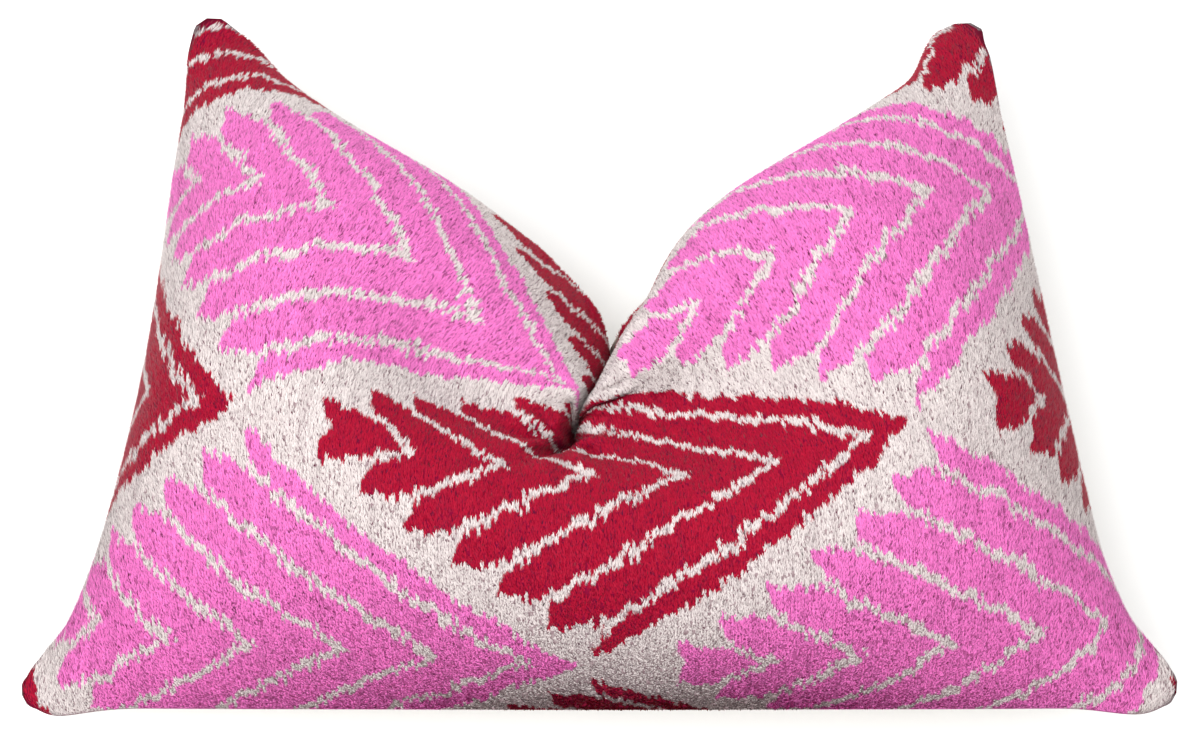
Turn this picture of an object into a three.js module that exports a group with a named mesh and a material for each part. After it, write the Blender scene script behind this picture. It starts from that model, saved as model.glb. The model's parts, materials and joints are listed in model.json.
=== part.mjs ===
// Lumbar pillow with a velvet cover, pressed in at the middle of its top edge so that
// two ears stand up beside a sharp crease.
//
// The cover is two flat panels sewn together all round with a plain knife edge. Here
// both panels are grids of threads that share one seam. They are filled to a volume,
// flattened where the pillow stood and where it lies, pressed in by the side of a hand,
// and left to settle. The result is one closed solid with the folds of the real one.
//
// Millimetres. The pillow lies on its back: X runs along its length, Y from its bottom
// edge to its ears, and Z up out of its face. The origin is on the surface under it,
// below the middle of its box.

import * as THREE from "three";

// Driving dimensions of the cover and its filling
const COVER_LENGTH = 610;
const COVER_HEIGHT = 406;
const CORNER_RADIUS = 30;
const FILLING_VOLUME = 15.4e6;
const SEAM_LEVEL = 60;

// Cells of the thread grid along the length and the height
const COLUMNS = 60;
const ROWS = 40;

// The pillow leaned back by this angle, in degrees, while it stood on its bottom edge,
// and the flat that it got there passes this far above the origin of the plan below
const LEAN = 18;
const STAND_OFFSET = 14;

// Plan of the seam: how far out the two side seams lie at each height
const SIDE_SEAMS = [
  { y: 10, left: -291, right: 292 },
  { y: 25, left: -280, right: 283 },
  { y: 44, left: -259, right: 263 },
  { y: 72, left: -246, right: 254 },
  { y: 109, left: -239, right: 247 },
  { y: 177, left: -229, right: 234 },
  { y: 269, left: -222, right: 218 },
  { y: 370, left: -211, right: 200 },
];

// Plan of the seam: how high the inner edges of the ears lie, going out from the crease
const EAR_SEAMS = [
  { out: 0, left: 172, right: 172 },
  { out: 15, left: 210, right: 204 },
  { out: 30, left: 233, right: 219 },
  { out: 55, left: 253, right: 240 },
  { out: 85, left: 268, right: 260 },
  { out: 115, left: 282, right: 280 },
  { out: 140, left: 303, right: 300 },
  { out: 165, left: 327, right: 328 },
  { out: 197, left: 361, right: 363 },
];

// Where the four sewn corners end up, by the side of the panel they belong to
const CORNERS = [
  { side: -1, end: -1, x: -288, y: 7 },
  { side: 1, end: -1, x: 289, y: 9 },
  { side: -1, end: 1, x: -208, y: 378 },
  { side: 1, end: 1, x: 199, y: 377 },
];

// The hand's edge: how far down it reaches, and where it stands, at each depth
const CREASE = [
  { z: 0, y: 176, x: 2 },
  { z: 65, y: 182, x: 2 },
  { z: 95, y: 160, x: -3 },
  { z: 125, y: 108, x: -17 },
];
const CREASE_X = 2;
const HAND_START = 430;
const HAND_END = 150;
const HAND_WIDTH = 120;
const HALF_GAP = 2.5;

// Cloth that is gathered out of sight at the bottom of the crease, on each panel
const GATHER_FROM = -20;
const GATHER_FULL = 60;
const FRONT_GATHER = { share: 0.3, width: 60 };
const BACK_GATHER = { share: 0.35, width: 80 };

// How the velvet behaves, as shares of a fault that one pass takes away
const THREAD_STRETCH = 1;
const THREAD_SQUEEZE = 0.07;
const BIAS_STRETCH = 0.15;
const BIAS_SQUEEZE = 0.02;
const BENDS = [
  { reach: 1, share: 0.02 },
  { reach: 3, share: 0.001 },
];
const FRONT_BEND = 1;
const BACK_BEND = 4;

// How the guides and the filling act, in each step of settling
const STEPS = 700;
const PASSES = 10;
const HAND_STEPS = 350;
const EAR_GUIDE_FROM = 105;
const CALM_STEPS = 60;
const CALM_BEND = 6;
const CALM_HOLD = 8;
const KEPT_SPEED = 0.9;
const PRESSURE = 0.0035;
const WEIGHT = 0.002;
const SIDE_GUIDE = 0.1;
const EAR_GUIDE = 0.05;
const BASE_GUIDE = 0.02;
const CORNER_GUIDE = 0.6;

const leanRadians = THREE.MathUtils.degToRad(LEAN);
const standY = Math.cos(leanRadians);
const standZ = Math.sin(leanRadians);

// Reads a column of one of the tables above between its rows
function readTable(table, key, value, column) {
  let row = 0;
  while (row < table.length - 2 && value > table[row + 1][key]) {
    row += 1;
  }
  const low = table[row];
  const high = table[row + 1];
  const share = (value - low[key]) / (high[key] - low[key]);
  return THREE.MathUtils.lerp(low[column], high[column], THREE.MathUtils.clamp(share, 0, 1));
}

// Both panels share the points of the seam, and each has its own points inside it
const rowLength = COLUMNS + 1;
const frontPoint = (column, row) => row * rowLength + column;
let pointCount = rowLength * (ROWS + 1);
const backPoints = [];
for (let row = 0; row <= ROWS; row += 1) {
  for (let column = 0; column <= COLUMNS; column += 1) {
    const onSeam = column === 0 || row === 0 || column === COLUMNS || row === ROWS;
    backPoints.push(onSeam ? frontPoint(column, row) : pointCount);
    pointCount += onSeam ? 0 : 1;
  }
}
const panels = [
  { side: 1, gather: FRONT_GATHER, bend: FRONT_BEND, point: frontPoint },
  {
    side: -1,
    gather: BACK_GATHER,
    bend: BACK_BEND,
    point: (column, row) => backPoints[frontPoint(column, row)],
  },
];

// A place on the flat panel, with the panel's corners rounded
function flatPlace(column, row) {
  const along = COVER_LENGTH * (column / COLUMNS - 0.5);
  const up = COVER_HEIGHT * (row / ROWS - 0.5);
  const cornerX = COVER_LENGTH / 2 - CORNER_RADIUS;
  const cornerY = COVER_HEIGHT / 2 - CORNER_RADIUS;
  const u = (Math.abs(along) - cornerX) / CORNER_RADIUS;
  const v = (Math.abs(up) - cornerY) / CORNER_RADIUS;
  if (u <= 0 || v <= 0) {
    return { along, up };
  }
  return {
    along: Math.sign(along) * (cornerX + CORNER_RADIUS * u * Math.sqrt(1 - v * v / 2)),
    up: Math.sign(up) * (cornerY + CORNER_RADIUS * v * Math.sqrt(1 - u * u / 2)),
  };
}

// The sewn and half-filled pillow before it is pressed in
const START_SCALE_X = 0.96;
const START_SCALE_Y = 0.93;
const START_BASE = 10;
const START_CROWN = 30;
const place = new Float64Array(pointCount * 3);
const flatAlong = new Float64Array(pointCount);
const flatUp = new Float64Array(pointCount);
for (const panel of panels) {
  for (let row = 0; row <= ROWS; row += 1) {
    for (let column = 0; column <= COLUMNS; column += 1) {
      const point = panel.point(column, row);
      const flat = flatPlace(column, row);
      const crown = Math.sqrt(Math.sin(Math.PI * column / COLUMNS) * Math.sin(Math.PI * row / ROWS));
      flatAlong[point] = flat.along;
      flatUp[point] = flat.up;
      place[3 * point] = flat.along * START_SCALE_X;
      place[3 * point + 1] = START_BASE + (flat.up + COVER_HEIGHT / 2) * START_SCALE_Y;
      place[3 * point + 2] = SEAM_LEVEL + panel.side * START_CROWN * (crown || 0);
    }
  }
}
const earlier = place.slice();

// Triangles of both panels, with diagonals that turn from cell to cell
const triangles = [];
for (let row = 0; row < ROWS; row += 1) {
  for (let column = 0; column < COLUMNS; column += 1) {
    for (const panel of panels) {
      const a = panel.point(column, row);
      const b = panel.point(column + 1, row);
      const c = panel.point(column + 1, row + 1);
      const d = panel.point(column, row + 1);
      const cell = (column + row) % 2 ? [[a, b, d], [b, c, d]] : [[a, b, c], [a, c, d]];
      for (const [p, q, r] of cell) {
        triangles.push(...(panel.side > 0 ? [p, q, r] : [p, r, q]));
      }
    }
  }
}

// Threads between neighbours, diagonals on the bias, and rows of three that resist a bend
const threads = [];
const bends = [];
function addThread(gather, a, b, stretch, squeeze) {
  const middleAlong = (flatAlong[a] + flatAlong[b]) / 2;
  const middleUp = (flatUp[a] + flatUp[b]) / 2;
  const near = Math.exp(-((middleAlong / gather.width) ** 2));
  const high = THREE.MathUtils.clamp((middleUp - GATHER_FROM) / (GATHER_FULL - GATHER_FROM), 0, 1);
  const kept = 1 - gather.share * near * high;
  const rest = Math.hypot(flatAlong[a] - flatAlong[b], (flatUp[a] - flatUp[b]) * kept);
  threads.push({ a: 3 * a, b: 3 * b, rest, stretch, squeeze });
}
for (const panel of panels) {
  for (let row = 0; row <= ROWS; row += 1) {
    for (let column = 0; column <= COLUMNS; column += 1) {
      const here = panel.point(column, row);
      const seamRow = row === 0 || row === ROWS;
      const seamColumn = column === 0 || column === COLUMNS;
      const front = panel.side > 0;
      if (column < COLUMNS && (front || !seamRow)) {
        addThread(panel.gather, here, panel.point(column + 1, row), THREAD_STRETCH, THREAD_SQUEEZE);
      }
      if (row < ROWS && (front || !seamColumn)) {
        addThread(panel.gather, here, panel.point(column, row + 1), THREAD_STRETCH, THREAD_SQUEEZE);
      }
      if (column < COLUMNS && row < ROWS) {
        const across = panel.point(column + 1, row + 1);
        const beside = panel.point(column + 1, row);
        const above = panel.point(column, row + 1);
        addThread(panel.gather, here, across, BIAS_STRETCH, BIAS_SQUEEZE);
        addThread(panel.gather, beside, above, BIAS_STRETCH, BIAS_SQUEEZE);
      }
      for (const { reach, share } of BENDS) {
        if (column >= reach && column <= COLUMNS - reach && !seamRow) {
          const ends = [panel.point(column - reach, row), panel.point(column + reach, row)];
          bends.push({ middle: 3 * here, a: 3 * ends[0], b: 3 * ends[1], share: share * panel.bend });
        }
        if (row >= reach && row <= ROWS - reach && !seamColumn) {
          const ends = [panel.point(column, row - reach), panel.point(column, row + reach)];
          bends.push({ middle: 3 * here, a: 3 * ends[0], b: 3 * ends[1], share: share * panel.bend });
        }
      }
    }
  }
}

// The volume inside, with the outward area of the cloth round each point
const outward = new Float64Array(pointCount * 3);
function measureVolume() {
  outward.fill(0);
  let volume = 0;
  for (let k = 0; k < triangles.length; k += 3) {
    const a = 3 * triangles[k];
    const b = 3 * triangles[k + 1];
    const c = 3 * triangles[k + 2];
    const bx = place[b] - place[a];
    const by = place[b + 1] - place[a + 1];
    const bz = place[b + 2] - place[a + 2];
    const cx = place[c] - place[a];
    const cy = place[c + 1] - place[a + 1];
    const cz = place[c + 2] - place[a + 2];
    const nx = by * cz - bz * cy;
    const ny = bz * cx - bx * cz;
    const nz = bx * cy - by * cx;
    volume += (place[a] * nx + place[a + 1] * ny + place[a + 2] * nz) / 6;
    for (const point of [a, b, c]) {
      outward[point] += nx;
      outward[point + 1] += ny;
      outward[point + 2] += nz;
    }
  }
  return volume;
}

function pullThread({ a, b, rest, stretch, squeeze }) {
  const dx = place[b] - place[a];
  const dy = place[b + 1] - place[a + 1];
  const dz = place[b + 2] - place[a + 2];
  const length = Math.sqrt(dx * dx + dy * dy + dz * dz) + 1e-9;
  const share = 0.5 * (length > rest ? stretch : squeeze) * (length - rest) / length;
  place[a] += share * dx;
  place[a + 1] += share * dy;
  place[a + 2] += share * dz;
  place[b] -= share * dx;
  place[b + 1] -= share * dy;
  place[b + 2] -= share * dz;
}

function straighten({ middle, a, b, share }, times) {
  for (let axis = 0; axis < 3; axis += 1) {
    const off = place[middle + axis] - (place[a + axis] + place[b + axis]) / 2;
    place[middle + axis] -= times * share * off / 2;
    place[a + axis] += times * share * off / 4;
    place[b + axis] += times * share * off / 4;
  }
}

// Height of a point over the flat on which the pillow stood
const standHeight = (k) => place[k + 1] * standY + place[k + 2] * standZ - STAND_OFFSET;

// Keeps a point out of the hand's edge, above the surface and above the flat it stood on
function pressPoint(point, handHeight) {
  const k = 3 * point;
  const reach = readTable(CREASE, "z", place[k + 2], "y") + handHeight;
  if (place[k + 1] > reach) {
    const handX = readTable(CREASE, "z", place[k + 2], "x");
    if (Math.abs(flatAlong[point]) < 1) {
      place[k + 1] = reach;
      place[k] += (handX - place[k]) / 2;
    } else if (flatAlong[point] < 0) {
      place[k] = Math.min(place[k], handX - HALF_GAP);
    } else {
      place[k] = Math.max(place[k], handX + HALF_GAP);
    }
  }
  place[k + 2] = Math.max(place[k + 2], 0);
  const over = standHeight(k);
  if (over < 0) {
    place[k + 1] -= over * standY;
    place[k + 2] -= over * standZ;
  }
}

const draw = (k, target, share) => {
  place[k] += (target - place[k]) * share;
};

// Draws the seam softly to its plan and to its level
function guideSeam(step, handHeight, hold) {
  for (let row = 0; row <= ROWS; row += 1) {
    for (const [column, name] of [[0, "left"], [COLUMNS, "right"]]) {
      const k = 3 * frontPoint(column, row);
      draw(k, readTable(SIDE_SEAMS, "y", place[k + 1], name), SIDE_GUIDE * hold);
      draw(k + 2, SEAM_LEVEL, BASE_GUIDE);
    }
  }
  for (let column = 1; column < COLUMNS; column += 1) {
    const base = 3 * frontPoint(column, 0);
    const over = standHeight(base);
    place[base + 1] -= BASE_GUIDE * over * standY;
    place[base + 2] -= BASE_GUIDE * over * standZ;
    draw(base + 2, SEAM_LEVEL, BASE_GUIDE);
    const ear = 3 * frontPoint(column, ROWS);
    draw(ear + 2, SEAM_LEVEL, BASE_GUIDE / 2);
    if (step > EAR_GUIDE_FROM) {
      const out = place[ear] - CREASE_X;
      const height = readTable(EAR_SEAMS, "out", Math.abs(out), out < 0 ? "left" : "right");
      const lifted = handHeight * Math.exp(-((place[ear] / HAND_WIDTH) ** 2));
      draw(ear + 1, height + lifted, EAR_GUIDE * hold);
    }
  }
  for (const { side, end, x, y } of CORNERS) {
    const k = 3 * frontPoint(side < 0 ? 0 : COLUMNS, end < 0 ? 0 : ROWS);
    draw(k, x, CORNER_GUIDE);
    draw(k + 1, y, CORNER_GUIDE);
    draw(k + 2, SEAM_LEVEL, CORNER_GUIDE);
  }
}

// Lets the cloth settle while the hand comes down and the filling pushes back
function settle() {
  for (let step = 0; step < STEPS; step += 1) {
    const left = Math.max(0, 1 - step / HAND_STEPS);
    const handHeight = (HAND_START - HAND_END) * left ** 1.3;
    for (let k = 0; k < place.length; k += 1) {
      const moved = (place[k] - earlier[k]) * KEPT_SPEED;
      earlier[k] = place[k];
      place[k] += moved;
    }
    const push = PRESSURE * (FILLING_VOLUME - measureVolume()) / FILLING_VOLUME;
    for (let k = 0; k < place.length; k += 3) {
      place[k] += push * outward[k];
      place[k + 1] += push * outward[k + 1] - WEIGHT * standY;
      place[k + 2] += push * outward[k + 2] - WEIGHT * (standZ + 1);
    }
    const calm = step >= STEPS - CALM_STEPS;
    const times = calm ? CALM_BEND : 1;
    for (let pass = 0; pass < PASSES; pass += 1) {
      for (let k = 0; k < threads.length; k += 1) {
        pullThread(threads[pass % 2 ? threads.length - 1 - k : k]);
      }
      for (const bend of bends) {
        straighten(bend, times);
      }
      for (let point = 0; point < pointCount; point += 1) {
        pressPoint(point, handHeight);
      }
    }
    guideSeam(step, handHeight, calm ? CALM_HOLD : 1);
  }
  for (let point = 0; point < pointCount; point += 1) {
    pressPoint(point, 0);
  }
}
settle();

// The settled cloth as one closed surface, moved over the middle of its box
const geometry = new THREE.BufferGeometry();
geometry.setAttribute("position", new THREE.Float32BufferAttribute(place, 3));
geometry.setIndex(triangles);
geometry.computeBoundingBox();
const middle = geometry.boundingBox.getCenter(new THREE.Vector3());
geometry.translate(-middle.x, -middle.y, -geometry.boundingBox.min.z);
geometry.computeVertexNormals();

const velvet = new THREE.MeshStandardMaterial({ color: 0xc9305f, roughness: 0.85, metalness: 0 });
const pillow = new THREE.Mesh(geometry, velvet);
pillow.name = "pillow";

const lumbarPillow = new THREE.Group();
lumbarPillow.add(pillow);

export default lumbarPillow;
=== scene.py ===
# %% [markdown]
# # A lumbar pillow in silk-velvet ikat
#
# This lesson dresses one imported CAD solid, a plump lumbar pillow with its top edge pressed in,
# as the real thing: a sewn velvet cover over a soft filling. We take the cloth of the cover
# from the solid, let it settle as cloth, weave a traditional ikat repeat on it with shader
# nodes, raise its pile, and put it on a pale floor in soft light.

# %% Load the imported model
import json
import math

import bmesh
import bpy
import numpy as np
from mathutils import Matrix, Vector

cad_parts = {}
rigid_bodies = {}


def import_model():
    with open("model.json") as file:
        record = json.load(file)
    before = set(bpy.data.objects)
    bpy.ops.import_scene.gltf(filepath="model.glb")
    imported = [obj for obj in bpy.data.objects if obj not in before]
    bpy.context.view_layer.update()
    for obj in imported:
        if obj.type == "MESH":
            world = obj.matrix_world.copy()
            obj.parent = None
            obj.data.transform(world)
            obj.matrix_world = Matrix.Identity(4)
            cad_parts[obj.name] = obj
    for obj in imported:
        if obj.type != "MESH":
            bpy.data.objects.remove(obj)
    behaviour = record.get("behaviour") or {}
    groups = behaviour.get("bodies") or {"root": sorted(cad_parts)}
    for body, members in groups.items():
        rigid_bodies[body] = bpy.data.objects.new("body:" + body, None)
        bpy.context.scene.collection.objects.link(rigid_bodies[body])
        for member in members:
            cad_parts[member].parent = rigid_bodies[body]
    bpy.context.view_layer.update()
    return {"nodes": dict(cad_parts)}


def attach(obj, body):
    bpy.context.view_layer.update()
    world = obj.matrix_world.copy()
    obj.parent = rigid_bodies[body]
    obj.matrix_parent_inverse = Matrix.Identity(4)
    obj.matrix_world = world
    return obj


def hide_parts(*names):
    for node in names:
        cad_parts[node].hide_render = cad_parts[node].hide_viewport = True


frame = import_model()
pillow_solid = frame["nodes"]["pillow"]

# %% [markdown]
# ## The camera
#
# The photograph looks at the face of a pillow that leans back a little. Ours lies on its back,
# so the camera stands over its bottom edge and looks down at the same angle to the face. It is
# set up first.

# %% Stand the camera over the bottom edge
CAMERA_ELEVATION = math.radians(72)
CAMERA_DISTANCE = 1.9
CAMERA_LENS = 110.6
CAMERA_AIM = Vector((0.0005, -0.0082, 0.0583))

towards_camera = Vector((0, -math.cos(CAMERA_ELEVATION), math.sin(CAMERA_ELEVATION)))
camera_data = bpy.data.cameras.new("photo_camera")
camera_data.lens = CAMERA_LENS
camera = bpy.data.objects.new("photo_camera", camera_data)
bpy.context.scene.collection.objects.link(camera)
camera.location = CAMERA_AIM + CAMERA_DISTANCE * towards_camera
camera.rotation_euler = (math.pi / 2 - CAMERA_ELEVATION, 0, 0)
bpy.context.scene.camera = camera
print("camera at", [round(v, 3) for v in camera.location])

# %% [markdown]
# ## The cover's cloth
#
# The real cover is two flat panels sewn together all round. The solid was settled from two
# grids of threads, so its triangles still lie in rows and columns. We work on a copy: its
# loose triangles are welded, and the diagonals are dissolved to get the squares of cloth back.
# Squares let Blender unfold the pattern along the threads, which triangles wouldn't.

# %% Copy the solid and weld it
cover = bpy.data.objects.new("velvet_pillow", pillow_solid.data.copy())
cover.data.materials.clear()
bpy.context.scene.collection.objects.link(cover)
bpy.ops.object.select_all(action="DESELECT")
cover.select_set(True)
bpy.context.view_layer.objects.active = cover
bpy.ops.object.mode_set(mode="EDIT")
bpy.ops.mesh.select_all(action="SELECT")
bpy.ops.mesh.remove_doubles(threshold=1e-5)
bpy.ops.object.mode_set(mode="OBJECT")
print("welded:", len(cover.data.vertices), "points,", len(cover.data.polygons), "triangles")

# %% Dissolve the diagonals
MOST_THREADS = 8
LEFT_AT_CORNER = 5


def dissolve_edges_where(wanted):
    """Dissolves the cover's edges that the test wants, and says how many."""
    cloth = bmesh.new()
    cloth.from_mesh(cover.data)
    chosen = [edge for edge in cloth.edges if wanted(edge)]
    bmesh.ops.dissolve_edges(cloth, edges=chosen, use_verts=False)
    cloth.to_mesh(cover.data)
    cloth.free()
    return len(chosen)


def joins_busy_points(edge):
    """True for a diagonal: both its ends have four threads and four diagonals."""
    return all(len(point.link_edges) == MOST_THREADS for point in edge.verts)


def is_corner_diagonal(edge):
    """True for the last diagonals, which end at the sewn corners."""
    all_triangles = all(len(face.verts) == 3 for face in edge.link_faces)
    return all_triangles and max(len(p.link_edges) for p in edge.verts) == LEFT_AT_CORNER


dissolved = dissolve_edges_where(joins_busy_points) + dissolve_edges_where(is_corner_diagonal)
side_counts = sorted({len(face.vertices) for face in cover.data.polygons})
print("dissolved", dissolved, "diagonals; faces now have", side_counts, "sides")

# %% [markdown]
# ## The sewn seam
#
# The two panels meet in one knife-edge seam with no piping. Only a sewn corner has two threads,
# so the seam is found by walking straight on from the corners: at each point the next edge
# is the one that shares no face with the last. The seam is marked for the unfolding and kept
# sharp for the smoothing later on.

# %% Walk the seam from its corners
SEAM_SHARPNESS = 0.75

cloth = bmesh.new()
cloth.from_mesh(cover.data)
sharpness = cloth.edges.layers.float.new("crease_edge")
sewn_corners = [point for point in cloth.verts if len(point.link_edges) == 2]
seam_edges = set()
for corner in sewn_corners:
    point = corner
    edge = corner.link_edges[0]
    while edge not in seam_edges:
        seam_edges.add(edge)
        point = edge.other_vert(point)
        beside = set(edge.link_faces)
        if len(point.link_edges) == 2:
            edge = next(e for e in point.link_edges if e is not edge)
        else:
            edge = next(e for e in point.link_edges if not beside & set(e.link_faces))
for edge in seam_edges:
    edge.seam = True
    edge[sharpness] = SEAM_SHARPNESS
seam_length = sum(edge.calc_length() for edge in seam_edges)
print(len(sewn_corners), "corners,", len(seam_edges), "seam edges,", round(seam_length, 3), "m long")
cloth.to_mesh(cover.data)
cloth.free()

# %% [markdown]
# ## Unfolding the panels
#
# The ikat has to follow the cloth into every fold, so it reads a map of the flat panels and not
# the space round them. One square of each panel gets its true cut size, and Follow Active
# Quads lays all the other squares beside it, thread by thread, up to the seam. The map is in
# metres, with the middle of the panel at zero.

# %% Unfold the two panels
COVER_LENGTH = 0.610
COVER_HEIGHT = 0.406
CLOTH_COLUMNS = 60
CLOTH_ROWS = 40
ABOVE_FACE = Vector((0.005, -0.1, 0.4))
BELOW_BACK = Vector((0.005, -0.1, -0.2))

square_size = Vector((COVER_LENGTH / CLOTH_COLUMNS, COVER_HEIGHT / CLOTH_ROWS))
flat_cloth = cover.data.uv_layers.new(name="flat_cloth")
everything = [True] * len(cover.data.loops)
flat_cloth.vertex_selection.foreach_set("value", everything)
flat_cloth.edge_selection.foreach_set("value", everything)
for panel, seen_from in enumerate((ABOVE_FACE, BELOW_BACK)):
    start = min(cover.data.polygons, key=lambda face: (face.center - seen_from).length)
    for corner in start.loop_indices:
        at = cover.data.vertices[cover.data.loops[corner].vertex_index].co
        across, up = at.x > start.center.x, at.y > start.center.y
        flat_cloth.data[corner].uv = (across * square_size.x, up * square_size.y)
    start_index = start.index
    bpy.ops.object.mode_set(mode="EDIT")
    bpy.ops.mesh.select_mode(type="FACE")
    bpy.ops.mesh.select_all(action="DESELECT")
    bpy.ops.object.mode_set(mode="OBJECT")
    cover.data.polygons[start_index].select = True
    cover.data.polygons.active = start_index
    bpy.ops.object.mode_set(mode="EDIT")
    bpy.ops.mesh.select_linked(delimit={"SEAM"})
    bpy.ops.uv.follow_active_quads(mode="EVEN")
    bpy.ops.object.mode_set(mode="OBJECT")
    flat_cloth = cover.data.uv_layers["flat_cloth"]
    corners = []
    for face in cover.data.polygons:
        if face.select:
            face.material_index = panel
            corners.extend(face.loop_indices)
    places = np.array([flat_cloth.data[corner].uv for corner in corners])
    middle = (places.min(0) + places.max(0)) / 2
    for corner, place in zip(corners, places):
        flat_cloth.data[corner].uv = place - middle
    print("panel", panel, "unfolds to", np.round(places.max(0) - places.min(0), 3), "m")

# %% [markdown]
# ## Smooth cloth
#
# The solid's squares are 10 mm wide, which shows as facets. Catmull-Clark subdivision halves
# them and rounds the cloth between the threads, and the sharp seam stays where it is.

# %% Halve the squares
def subdivide_cover(levels):
    """Subdivides the cover for good, with the map of the flat cloth kept."""
    smoothing = cover.modifiers.new("smoothing", "SUBSURF")
    smoothing.levels = smoothing.render_levels = levels
    bpy.context.view_layer.objects.active = cover
    bpy.ops.object.modifier_apply(modifier=smoothing.name)
    print("the cover now has", len(cover.data.polygons), "squares")


subdivide_cover(1)

# %% [markdown]
# ## Letting the cover settle
#
# A real cover isn't as even as a smoothed solid: where it is gathered into the crease and the
# corners it has small folds. Blender's Cloth makes these. The filling is a light pressure, each
# point is held softly to where the solid has it, and the cloth has a little to spare near the
# crease and the corners, so it has to fold there. How far a point may move is capped.

# %% Weigh how firmly each point is held
CREASED_PLACES = (((-0.018, -0.075, 0.135), 0.10), ((0.0, 0.0, 0.07), 0.06))
CORNER_SPARE = 0.6
CORNER_REACH = 0.05
HELD_FIRMLY = 0.5
HELD_LESS = 0.35

points = np.array([point.co for point in cover.data.vertices])
free_cloth = np.zeros(len(points))
for place, reach in CREASED_PLACES:
    distance = np.linalg.norm(points - np.array(place), axis=1)
    free_cloth = np.maximum(free_cloth, np.exp(-((distance / reach) ** 2)))
for corner in [(sx, sy) for sx in (-1, 1) for sy in (-1, 1)]:
    far = np.argmax(points[:, 0] * corner[0] + points[:, 1] * corner[1])
    distance = np.linalg.norm(points - points[far], axis=1)
    near = np.exp(-((distance / CORNER_REACH) ** 2))
    free_cloth = np.maximum(free_cloth, CORNER_SPARE * near)
held = cover.vertex_groups.new(name="held")
spare = cover.vertex_groups.new(name="spare")
for index, freedom in enumerate(free_cloth):
    held.add([index], float(HELD_FIRMLY - HELD_LESS * freedom), "REPLACE")
    spare.add([index], float(freedom), "REPLACE")
print("points with spare cloth:", int((free_cloth > 0.3).sum()))

# %% Fill and fold the cover
MOST_MOVED = 0.007
SETTLE_FRAMES = 24

settling = cover.modifiers.new("settling", "CLOTH")
velvet = settling.settings
velvet.quality = 6
velvet.mass = 0.3
velvet.tension_stiffness = velvet.compression_stiffness = 12
velvet.shear_stiffness = 4
velvet.bending_stiffness = 0.3
velvet.air_damping = 3
velvet.use_pressure = True
velvet.uniform_pressure_force = 1.5
velvet.effector_weights.gravity = 0
velvet.vertex_group_mass = held.name
velvet.pin_stiffness = 1
velvet.vertex_group_shrink = spare.name
velvet.shrink_min = 0
velvet.shrink_max = -0.06
settling.collision_settings.use_self_collision = True
settling.collision_settings.self_distance_min = 0.0015
scene = bpy.context.scene
settling.point_cache.frame_start = 1
settling.point_cache.frame_end = SETTLE_FRAMES
for frame_number in range(1, SETTLE_FRAMES + 1):
    scene.frame_set(frame_number)
bpy.ops.object.modifier_apply(modifier=settling.name)
scene.frame_set(1)
moved = np.array([point.co for point in cover.data.vertices]) - points
length = np.linalg.norm(moved, axis=1)
moved *= np.minimum(1, MOST_MOVED / np.maximum(length, 1e-9))[:, None]
settled = points + moved
settled[:, 2] = np.maximum(settled[:, 2], 0)
cover.data.vertices.foreach_set("co", settled.ravel())
cover.data.update()
print("cloth moved by up to", round(1000 * length.max(), 1), "mm before the cap")
cover.vertex_groups.clear()

# %% Halve the squares once more
subdivide_cover(1)

# %% [markdown]
# ## Closing the crease
#
# Where the hand pressed, the two lobes of the real pillow roll over and touch, so the crease is
# a closed cleft that ends in a pinch with small puckers round it. The solid has it as an open
# valley. We draw the cloth sideways towards the line of the crease, which stands the walls up,
# lift the hollow beside it, sink the cloth on the line itself, and pucker the cloth at its end.

# %% Draw the lobes together over the crease
CREASE_LINE = (
    (0.060, 0.004), (0.000, 0.006), (-0.018, 0.003), (-0.028, -0.001), (-0.042, -0.008),
    (-0.054, -0.012), (-0.064, -0.014), (-0.070, -0.021), (-0.078, -0.028),
)
DRAWN_IN = ((0.070, 0), (0.045, 0.2), (0.020, 0.75), (-0.005, 0.95), (-0.045, 0.95), (-0.085, 0))
DRAWN_RIGHT = ((0.015, 0), (-0.010, 0.9), (-0.050, 0.9), (-0.085, 0))
SINK = ((0.012, 0), (-0.006, 0.035), (-0.060, 0.035), (-0.082, 0))
PINCH = (-0.019, -0.067)
PUCKER_HEIGHT = 0.0048
PUCKER_COUNT = 7
PUCKERS_FROM_PINCH = 0.017
PUCKER_REACH = 0.011
PUCKERS_BELOW = -0.045
LEFT_REACH = 0.040
RIGHT_REACH = 0.016
SINK_REACH = 0.009
HOLLOW_LIFT = 0.012
HOLLOW_AT = -0.048
HOLLOW_REACH = (0.055, 0.030)
BACK_HEIGHT = 0.02
BACK_FADE = 0.04


def read_along(table, up):
    """Reads a table of places and values, smoothly enough for cloth."""
    places, values = zip(*sorted(table))
    return np.interp(up, places, values)


def bell(distance):
    """A soft bump: one at zero, next to nothing from two on."""
    return np.exp(-(distance**2))


cloth_points = np.array([point.co for point in cover.data.vertices])
on_face = np.zeros(len(cloth_points), bool)
for face in cover.data.polygons:
    if face.material_index == 0:
        on_face[list(face.vertices)] = True
x, y, z = cloth_points.T.copy()
beside = x - read_along(CREASE_LINE, y)
leaves_back = np.clip((z - BACK_HEIGHT) / BACK_FADE, 0, 1)
left = read_along(DRAWN_IN, y) * bell(beside / LEFT_REACH) * (beside < 0)
right = read_along(DRAWN_RIGHT, y) * bell(beside / RIGHT_REACH) * (beside >= 0)
x -= beside * (left + right) * leaves_back
hollow = HOLLOW_LIFT * bell((y - HOLLOW_AT) / HOLLOW_REACH[1]) * bell(beside / HOLLOW_REACH[0])
sunk = read_along(SINK, y) * bell(beside / SINK_REACH)
from_pinch = np.hypot(x - PINCH[0], y - PINCH[1])
around = np.arctan2(y - PINCH[1], x - PINCH[0])
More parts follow.
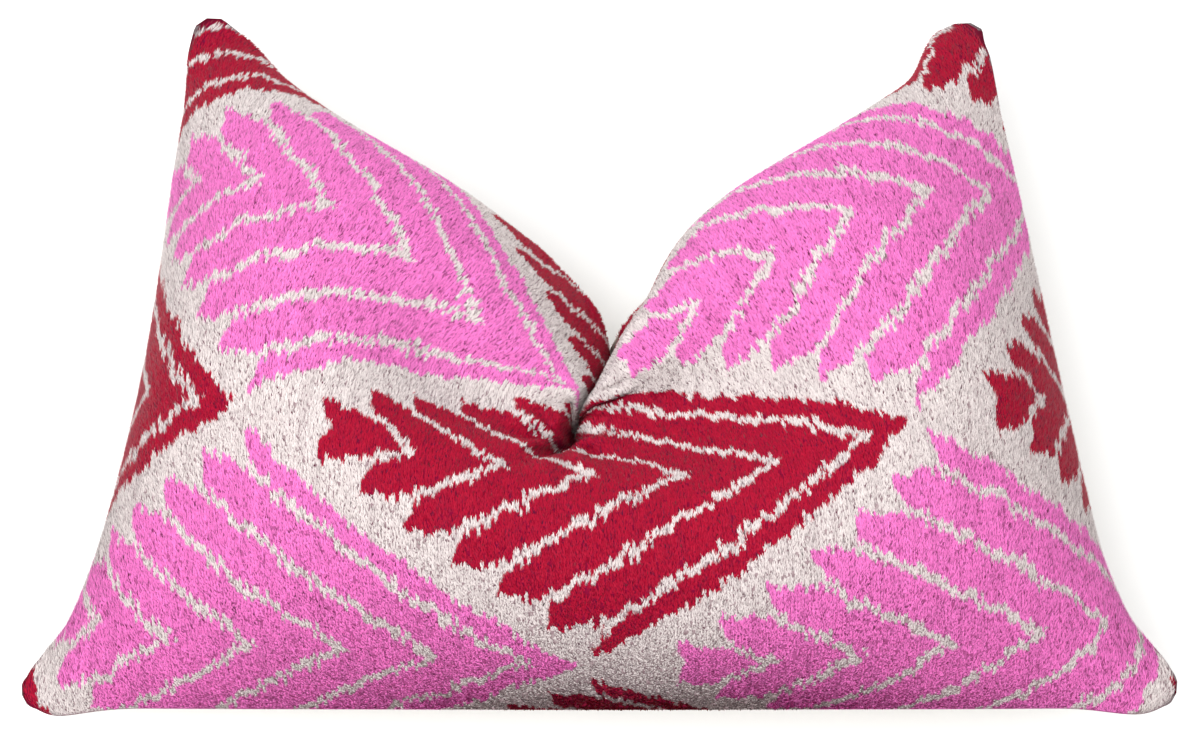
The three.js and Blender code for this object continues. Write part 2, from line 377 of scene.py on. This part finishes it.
uneven = 0.65 + 0.35 * np.cos(2 * around + 0.6)
ring = bell((from_pinch - PUCKERS_FROM_PINCH) / PUCKER_REACH)
below_crease = np.clip((PUCKERS_BELOW - y) / 0.01, 0, 1)
puckers = PUCKER_HEIGHT * uneven * np.cos(PUCKER_COUNT * around + 0.4) * ring * below_crease
z += (hollow - sunk + puckers) * on_face
cover.data.vertices.foreach_set("co", np.stack((x, y, z), 1).ravel())
cover.data.update()
print("drawn sideways by up to", round(1000 * np.abs(x - cloth_points[:, 0]).max(), 1), "mm")
bpy.ops.object.shade_smooth()

# %% [markdown]
# ## Plump corners
#
# A sewn corner of thick velvet can't come to a point: the folded seam inside makes it round
# and blunt. The solid's corners are sharp, so we widen each one near its tip until it is round.
# The right ear is also fuller along its inner edge, and the two lower corners sit a little lower.

# %% Round the corners
CORNER_ROUNDING = 0.010
CORNER_FADE = 0.050
MEETS_WEDGE = 0.45
CORNER_SIZE = 0.08
RING = (0.02, 0.03)
FULLER = (
    ((0.190, 0.163), (-0.006, 0.011), 0.017),
    ((-0.283, -0.170), (-0.001, -0.007), 0.028),
    ((0.283, -0.170), (0.001, -0.007), 0.028),
)

cloth_points = np.array([point.co for point in cover.data.vertices])
plan = cloth_points[:, :2].copy()
for side_x, side_y in ((-1, -1), (1, -1), (-1, 1), (1, 1)):
    tip = plan[np.argmax(side_x * plan[:, 0] + side_y * plan[:, 1])].copy()
    offsets = plan - tip
    distance = np.hypot(*offsets.T)
    ring = (distance > RING[0]) & (distance < RING[1])
    inwards = offsets[ring].mean(0)
    inwards /= np.hypot(*inwards)
    sideways = np.array([-inwards[1], inwards[0]])
    depth, width = offsets @ inwards, offsets @ sideways
    spread = np.abs(width[ring] / depth[ring]).max()
    wedge = np.maximum(depth, 1e-5) * spread
    round_tip = np.sqrt(np.maximum(depth * (2 * CORNER_ROUNDING - depth), 0))
    meets = CORNER_ROUNDING * MEETS_WEDGE
    most = np.sqrt(meets * (2 * CORNER_ROUNDING - meets)) - meets * spread
    fading = np.clip(1 - (depth - meets) / CORNER_FADE, 0, 1)
    extra = np.where(depth < meets, round_tip - wedge, most * fading**2 * (3 - 2 * fading))
    widening = np.where((distance < CORNER_SIZE) & (depth > 1e-4), extra / wedge, 0)
    plan += sideways * (width * widening)[:, None]
for (at_x, at_y), move, reach in FULLER:
    near = bell(np.hypot(plan[:, 0] - at_x, plan[:, 1] - at_y) / reach)
    plan += near[:, None] * np.array(move)
cover.data.vertices.foreach_set("co", np.column_stack((plan, cloth_points[:, 2])).ravel())
cover.data.update()
print("corners moved by up to", round(1000 * np.abs(plan - cloth_points[:, :2]).max(), 1), "mm")

# %% [markdown]
# ## The pile
#
# Silk velvet has a short cut pile. Its tufts stand in fine rows along the warp and lean towards
# the top edge, so small slits open between them, the edges of the pattern look toothed, and
# the outline is a little furry. The slits look dark from real shadow and from painted shade on
# the ground cloth below. Each tuft here is one leaning triangle, and they are made as arrays,
# because there are several hundred thousand. A tuft takes its place on the pattern from its
# root, so it has one colour, as a real thread has.

# %% Read the face as a grid of threads
GRID_COLUMNS = 4 * CLOTH_COLUMNS
GRID_ROWS = 4 * CLOTH_ROWS

flat_cloth = cover.data.uv_layers["flat_cloth"]
places = np.empty(2 * len(cover.data.loops))
flat_cloth.data.foreach_get("uv", places)
flat_places = places.reshape(-1, 2)
loop_points = np.empty(len(cover.data.loops), int)
cover.data.loops.foreach_get("vertex_index", loop_points)
panel_of_face = np.empty(len(cover.data.polygons), int)
cover.data.polygons.foreach_get("material_index", panel_of_face)
face_loops = np.repeat(panel_of_face, 4) == 0
columns = np.rint((flat_places[face_loops, 0] / COVER_LENGTH + 0.5) * GRID_COLUMNS).astype(int)
rows = np.rint((flat_places[face_loops, 1] / COVER_HEIGHT + 0.5) * GRID_ROWS).astype(int)
point_values = np.empty(3 * len(cover.data.vertices))
cover.data.vertices.foreach_get("co", point_values)
normals = np.array([normal.vector for normal in cover.data.vertex_normals])
thread_grid = np.zeros((GRID_ROWS + 1, GRID_COLUMNS + 1, 6))
thread_grid[rows, columns, 0:3] = point_values.reshape(-1, 3)[loop_points[face_loops]]
thread_grid[rows, columns, 3:6] = normals[loop_points[face_loops]]
filled = np.zeros(thread_grid.shape[:2], bool)
filled[rows, columns] = True
print("grid of threads", filled.shape, "with", int((~filled).sum()), "empty places")

# %% Plant the tufts
TUFT_PITCH = 0.00085
TUFT_STEP = 0.00078
TUFT_WIDTH = 0.0011
TUFT_LENGTH = 0.0021
TUFT_RISE = 0.0010
WALE_GAP = 0.00016
SLIT_COUNT = 7000
SLIT_GRID = 0.0004
SEAM_MARGIN = 0.001
TUFT_SWAY = 0.0005
TUFT_UNEVENNESS = 0.30

chances = np.random.default_rng(5)


def read_threads(along, up):
    """Reads the grid of threads between its points, at places on the flat cloth."""
    column = np.clip((along / COVER_LENGTH + 0.5) * GRID_COLUMNS, 0, GRID_COLUMNS - 1e-6)
    row = np.clip((up / COVER_HEIGHT + 0.5) * GRID_ROWS, 0, GRID_ROWS - 1e-6)
    left, low = column.astype(int), row.astype(int)
    across, above = (column - left)[:, None], (row - low)[:, None]
    bottom = thread_grid[low, left] * (1 - across) + thread_grid[low, left + 1] * across
    top = thread_grid[low + 1, left] * (1 - across) + thread_grid[low + 1, left + 1] * across
    return bottom * (1 - above) + top * above


def open_slits():
    """Marks on a fine grid of the flat cloth where the pile parts in small slits."""
    slits = np.zeros((int(COVER_HEIGHT / SLIT_GRID) + 2, int(COVER_LENGTH / SLIT_GRID) + 2), bool)
    height, width = slits.shape
    for _ in range(SLIT_COUNT):
        row, column = int(chances.uniform(6, height - 6)), int(chances.uniform(3, width - 3))
        tall, wide = int(chances.uniform(2, 5)), int(chances.uniform(1, 2.4))
        slits[row - tall : row + tall, column - wide : column + wide] = True
    return slits


slits = open_slits()


def unit(vectors):
    """The vectors with length one."""
    return vectors / np.maximum(np.linalg.norm(vectors, axis=1), 1e-9)[:, None]


def plant_pile(name, first, last):
    """Makes one piece of pile between two places along the cloth."""
    reach = COVER_HEIGHT / 2 - SEAM_MARGIN
    along, up = np.meshgrid(np.arange(first, last, TUFT_PITCH), np.arange(-reach, reach, TUFT_STEP))
    along, up = along.ravel(), up.ravel()
    second = np.rint(along / TUFT_PITCH).astype(int) % 2
    along = along + (0.5 - second) * WALE_GAP + chances.normal(0, 0.12, len(along)) * TUFT_PITCH
    up = up + chances.uniform(-0.5, 0.5, len(up)) * TUFT_STEP
    slit_row = ((up + COVER_HEIGHT / 2) / SLIT_GRID).astype(int)
    slit_column = ((along + COVER_LENGTH / 2) / SLIT_GRID).astype(int)
    stands = ~slits[slit_row, slit_column]
    along, up = along[stands], up[stands]
    threads = read_threads(along, up)
    root, normal = threads[:, 0:3], unit(threads[:, 3:6])
    warp = unit(read_threads(along, up + 0.002)[:, 0:3] - read_threads(along, up - 0.002)[:, 0:3])
    weft = unit(np.cross(warp, normal))
    length = TUFT_LENGTH * chances.uniform(0.7, 1.3, (len(along), 1))
    rise = TUFT_RISE * chances.uniform(0.6, 1.4, (len(along), 1))
    sway = TUFT_SWAY * chances.normal(0, 1, (len(along), 1))
    width = TUFT_WIDTH / 2 * chances.uniform(0.8, 1.2, (len(along), 1))
    tip = root + warp * length + normal * rise + weft * sway
    corners = np.stack([root - weft * width, root + weft * width, tip], 1).reshape(-1, 3)
    count = len(along)
    mesh = bpy.data.meshes.new(name)
    mesh.vertices.add(3 * count)
    mesh.vertices.foreach_set("co", corners.ravel())
    mesh.loops.add(3 * count)
    mesh.loops.foreach_set("vertex_index", np.arange(3 * count))
    mesh.polygons.add(count)
    mesh.polygons.foreach_set("loop_start", np.arange(0, 3 * count, 3))
    layer = mesh.uv_layers.new(name="flat_cloth")
    layer.data.foreach_set("uv", np.repeat(np.stack([along, up], 1), 3, axis=0).ravel())
    tips = mesh.attributes.new("tip", "FLOAT", "POINT")
    tips.data.foreach_set("value", np.tile([0.0, 0.0, 1.0], count))
    mesh.update()
    mesh.polygons.foreach_set("use_smooth", np.ones(count, bool))
    lean = unit(normal + TUFT_UNEVENNESS * chances.normal(0, 1, (count, 3)))
    mesh.normals_split_custom_set_from_vertices(np.repeat(lean, 3, axis=0))
    pile = bpy.data.objects.new(name, mesh)
    bpy.context.scene.collection.objects.link(pile)
    print(name, "has", count, "tufts")
    return pile


half = COVER_LENGTH / 2 - SEAM_MARGIN
piles = [plant_pile("velvet_pile_left", -half, 0), plant_pile("velvet_pile_right", 0, half)]

# %% [markdown]
# ## Formulas as shader nodes
#
# The ikat is a repeat with simple measures, so it is written as a formula of where a point lies
# on the flat cloth. A shader has a Math node for each sum or product, and long formulas would
# be hard to read as nodes, so a small class makes the nodes while we write plain sums.

# %% A value that varies over the cloth
class Field:
    """A number that changes over the cloth. Sums of fields become Math nodes."""

    def __init__(self, tree, socket):
        self.tree = tree
        self.socket = socket

    def math(self, operation, *values):
        node = self.tree.nodes.new("ShaderNodeMath")
        node.operation = operation
        for socket, value in zip(node.inputs, values):
            if isinstance(value, Field):
                self.tree.links.new(value.socket, socket)
            else:
                socket.default_value = value
        return Field(self.tree, node.outputs[0])

    def __add__(self, other):
        return self.math("ADD", self, other)

    def __radd__(self, other):
        return self.math("ADD", self, other)

    def __sub__(self, other):
        return self.math("SUBTRACT", self, other)

    def __rsub__(self, other):
        return self.math("SUBTRACT", other, self)

    def __mul__(self, other):
        return self.math("MULTIPLY", self, other)

    def __rmul__(self, other):
        return self.math("MULTIPLY", self, other)

    def power(self, exponent):
        return self.math("POWER", self, exponent)

    def below(self, other):
        return self.math("MINIMUM", self, other)

    def above(self, other):
        return self.math("MAXIMUM", self, other)

    def whole(self):
        return self.math("FLOOR", self)

    def wrapped(self, period):
        return self.math("FLOORED_MODULO", self, period)

    def to_nearest(self, period):
        return self.math("PINGPONG", self, period / 2)

    def ramp(self, low, high):
        node = self.tree.nodes.new("ShaderNodeMapRange")
        node.interpolation_type = "SMOOTHSTEP"
        self.tree.links.new(self.socket, node.inputs["Value"])
        node.inputs["From Min"].default_value = low
        node.inputs["From Max"].default_value = high
        return Field(self.tree, node.outputs["Result"])


def join_fields(x, y):
    """A vector of two fields, for a texture node."""
    node = x.tree.nodes.new("ShaderNodeCombineXYZ")
    x.tree.links.new(x.socket, node.inputs["X"])
    x.tree.links.new(y.socket, node.inputs["Y"])
    return node.outputs["Vector"]


def cloud(x, y, detail=1.0):
    """Soft noise from 0 to 1 over two fields."""
    node = x.tree.nodes.new("ShaderNodeTexNoise")
    node.noise_dimensions = "2D"
    node.inputs["Scale"].default_value = 1.0
    node.inputs["Detail"].default_value = detail
    x.tree.links.new(join_fields(x, y), node.inputs["Vector"])
    return Field(x.tree, node.outputs["Fac"])


def chance(x):
    """A random value from 0 to 1 for each whole number in a field."""
    node = x.tree.nodes.new("ShaderNodeTexWhiteNoise")
    node.noise_dimensions = "1D"
    x.tree.links.new(x.socket, node.inputs["W"])
    return Field(x.tree, node.outputs["Value"])


def blend_colours(share, first, second):
    """Mixes two colours, each a constant or a socket, by a field."""
    node = share.tree.nodes.new("ShaderNodeMix")
    node.data_type = "RGBA"
    share.tree.links.new(share.socket, node.inputs[0])
    for socket, colour in ((node.inputs[6], first), (node.inputs[7], second)):
        if isinstance(colour, tuple):
            socket.default_value = (*colour, 1)
        else:
            share.tree.links.new(colour, socket)
    return node.outputs[2]


def read_cloth(tree):
    """The two directions of the flat cloth, in millimetres."""
    flat = tree.nodes.new("ShaderNodeUVMap")
    flat.uv_map = "flat_cloth"
    parts = tree.nodes.new("ShaderNodeSeparateXYZ")
    tree.links.new(flat.outputs["UV"], parts.inputs["Vector"])
    return Field(tree, parts.outputs["X"]) * 1000, Field(tree, parts.outputs["Y"]) * 1000


def read_attribute(tree, name):
    """A number that each point of a piece carries."""
    node = tree.nodes.new("ShaderNodeAttribute")
    node.attribute_name = name
    return Field(tree, node.outputs["Fac"])


def start_material(name):
    """A new node material: its node tree and its shader."""
    material = bpy.data.materials.new(name)
    material.use_nodes = True
    return material, material.node_tree, material.node_tree.nodes["Principled BSDF"]


# %% [markdown]
# ## The ikat repeat
#
# The pattern is a traditional one: leaf shapes pointing to the right, each with chevrons nested
# in it, in a half drop on ivory, one row pink and the next crimson. Its warp threads were dyed
# before weaving, and they never line up again, so each edge is frayed into small teeth along the
# warp. We place the leaves by their spacing, cut the chevrons out of them, and shift each bundle
# of warp threads by its own small amount before the formula looks where it is.

# %% The measures of the repeat, in millimetres
REPEAT_LENGTH = 345
REPEAT_HEIGHT = 240
CRIMSON_TIP = (174, -35)
PINK_TIP = (CRIMSON_TIP[0] - REPEAT_LENGTH / 2, CRIMSON_TIP[1] + REPEAT_HEIGHT / 2)
ARM_SLOPE = 1.48
LEAF_EDGE = 6
LEAF_LENGTH = 326
FEATHER_SLOPE = 1.39
CHEVRON_FIRST = 31
CHEVRON_SPACING = 45.4
CHEVRON_HALF_WIDTH = 4
FEATHER_LENGTH = 30
WARP_BUNDLE = 1.7
BUNDLE_SHIFT = 5
BUNDLE_WANDER = 8
WARP_DRIFT = 9
WEFT_DRIFT = 10
ACROSS_EDGE = 0.56
DYE_SOFTNESS = 0.5

# %% One family of leaves as a formula
def leaf_depth(along, up, tip):
    """How deep a point lies inside the dyed bands of a family of leaves, in millimetres."""
    behind = (tip[0] - along).wrapped(REPEAT_LENGTH)
    beside = (up - tip[1]).to_nearest(REPEAT_HEIGHT)
    from_edge = behind - ARM_SLOPE * beside
    from_feathers = (LEAF_LENGTH - FEATHER_SLOPE * beside) - behind
    opening = (1 - from_feathers * (1 / FEATHER_LENGTH)).above(0).power(1.3)
    half_gap = CHEVRON_HALF_WIDTH + opening * (CHEVRON_SPACING / 2 - CHEVRON_HALF_WIDTH)
    from_chevron = (from_edge - CHEVRON_FIRST).to_nearest(CHEVRON_SPACING) - half_gap
    inside = (from_edge - LEAF_EDGE).below(from_feathers).below(from_chevron)
    return inside * ACROSS_EDGE


# %% Dye and weave the ikat
CRIMSON = (0.41, 0.001, 0.023)
PINK = (0.93, 0.215, 0.62)
IVORY = (0.79, 0.72, 0.70)
# The last colour is a dark wine. It is used for painted shade under and between the tufts, and for
# the tufts' random darker tone.
SHADE_AND_DARK_TONE = (0.08, 0.001, 0.025)


def weave_ikat(tree):
    """Builds the ikat's colour in a node tree."""
    along, up = read_cloth(tree)
    bundle = (along * (1 / WARP_BUNDLE)).whole()
    wander = (cloud(bundle * 2.7, up * 0.02) - 0.5) * BUNDLE_WANDER
    own_shift = (chance(bundle) - 0.5) * BUNDLE_SHIFT + wander
    drift = (cloud(along * 0.06, up * 0.06, 2.0) - 0.5) * WARP_DRIFT
    dyed_up = up + own_shift + drift
    dyed_along = along + (cloud(along * 0.05, up * 0.05) - 0.5) * WEFT_DRIFT
    colour = IVORY
    for tip, dye in ((PINK_TIP, PINK), (CRIMSON_TIP, CRIMSON)):
        depth = leaf_depth(dyed_along, dyed_up, tip)
        colour = blend_colours(depth.ramp(-DYE_SOFTNESS, DYE_SOFTNESS), colour, dye)
    return colour


face_velvet, tree, face_shader = start_material("ikat_ground")
along, up = read_cloth(tree)
# Painted shade: the ground cloth between the tufts is mixed from about half to nearly all the way
# towards the dark colour.
shade_between_tufts = cloud(along * 0.9, up * 0.3, 2.0)
ground_colour = blend_colours(0.45 + shade_between_tufts * 0.5, weave_ikat(tree), SHADE_AND_DARK_TONE)
tree.links.new(ground_colour, face_shader.inputs["Base Color"])
face_shader.inputs["Roughness"].default_value = 0.9
face_shader.inputs["Specular IOR Level"].default_value = 0.1
print("the ikat takes", len(tree.nodes), "nodes")

# %% Dye the tufts and paint their shade
# A tuft is painted darker towards its root, as painted shade where little light gets in, and no two
# are quite alike. A few tufts are painted nearly black, as painted shade of dark slits, and soft
# streaks along the warp darken the pile further.
pile_velvet, tree, pile_shader = start_material("ikat_pile")
along, up = read_cloth(tree)
towards_tip = read_attribute(tree, "tip")
own = chance(along * 37.0 + up * 91.0)
streaks = cloud(along * 0.22, up * 0.02, 2.0)
# Painted shade: darker towards the root, and a few tufts nearly black.
shade = (1 - towards_tip) * 0.24 + own * 0.12 + own.power(14) * 0.80
shade = (shade + (streaks - 0.45).above(0) * 0.4).below(1)
pile_colour = blend_colours(shade, weave_ikat(tree), SHADE_AND_DARK_TONE)
tree.links.new(pile_colour, pile_shader.inputs["Base Color"])
pile_shader.inputs["Roughness"].default_value = 0.6
pile_shader.inputs["Specular IOR Level"].default_value = 0.12
pile_shader.inputs["Sheen Weight"].default_value = 0.05
pile_shader.inputs["Sheen Roughness"].default_value = 0.4
for pile in piles:
    pile.data.materials.append(pile_velvet)

# %% [markdown]
# ## The back panel
#
# The photograph doesn't show the back. Such a pillow is usually backed with plain undyed
# cotton, so the back is an even weave in natural ivory, with no pattern.

# %% Weave the plain back
BACK_PITCH = 0.9
COTTON_SHADE = (0.56, 0.50, 0.42)
COTTON = (0.74, 0.69, 0.61)

plain_back, back_tree, back_shader = start_material("plain_cotton")
along, up = read_cloth(back_tree)
warp = along.math("SINE", along * (math.tau / BACK_PITCH))
weft = along.math("SINE", up * (math.tau / BACK_PITCH))
slubs = cloud(along * 0.08, up * 1.4, 2.0) + cloud(along * 1.4, up * 0.08, 2.0)
back_colour = blend_colours(slubs * 0.5, COTTON_SHADE, COTTON)
back_tree.links.new(back_colour, back_shader.inputs["Base Color"])
back_bump = back_tree.nodes.new("ShaderNodeBump")
back_bump.inputs["Strength"].default_value = 0.5
back_bump.inputs["Distance"].default_value = 0.0004
back_tree.links.new((warp * weft + slubs).socket, back_bump.inputs["Height"])
back_tree.links.new(back_bump.outputs["Normal"], back_shader.inputs["Normal"])
back_tree.links.new((0.8 + slubs * 0.08).socket, back_shader.inputs["Roughness"])
back_shader.inputs["Sheen Weight"].default_value = 0.1

cover.data.materials.append(face_velvet)
cover.data.materials.append(plain_back)
print("materials:", [material.name for material in cover.data.materials])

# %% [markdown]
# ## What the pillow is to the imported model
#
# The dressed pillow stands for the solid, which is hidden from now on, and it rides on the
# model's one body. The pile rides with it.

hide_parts("pillow")
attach(cover, "root")
for pile in piles:
    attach(pile, "root")

# %% [markdown]
# ## Floor and light
#
# A catalogue photograph has a pale ground and even light. A large soft light stands on the
# camera's side and to the left, a weaker one over the right ear, and a pale world lifts the
# shadows. The floor is a plain sheet under the pillow.

# %% Lay the floor
bpy.ops.object.select_all(action="DESELECT")
bpy.ops.mesh.primitive_plane_add(size=8, location=(0, 0, 0))
floor = bpy.context.object
floor.name = "pale_floor"
floor_paint = bpy.data.materials.new("pale_floor")
floor_paint.use_nodes = True
floor_shader = floor_paint.node_tree.nodes["Principled BSDF"]
floor_shader.inputs["Base Color"].default_value = (0.86, 0.86, 0.86, 1)
floor_shader.inputs["Roughness"].default_value = 0.9
floor.data.materials.append(floor_paint)

# %% Hang the lights
def hang_light(name, place, aim, size, power):
    """A square area light of that size in metres, pointed at a place."""
    data = bpy.data.lights.new(name, "AREA")
    data.size = size
    data.energy = power
    light = bpy.data.objects.new(name, data)
    bpy.context.scene.collection.objects.link(light)
    light.location = place
    light.rotation_euler = (Vector(aim) - Vector(place)).to_track_quat("-Z", "Y").to_euler()


hang_light("key_light", (-0.8, -0.7, 2.0), (0, 0, 0.05), 1.6, 46)
hang_light("fill_light", (0.4, 1.1, 1.9), (0, 0, 0.05), 1.8, 18)
world = bpy.data.worlds.new("pale_world")
bpy.context.scene.world = world
world.use_nodes = True
world.node_tree.nodes["Background"].inputs["Color"].default_value = (1, 1, 1, 1)
world.node_tree.nodes["Background"].inputs["Strength"].default_value = 0.85
bpy.context.scene.view_settings.view_transform = "Standard"
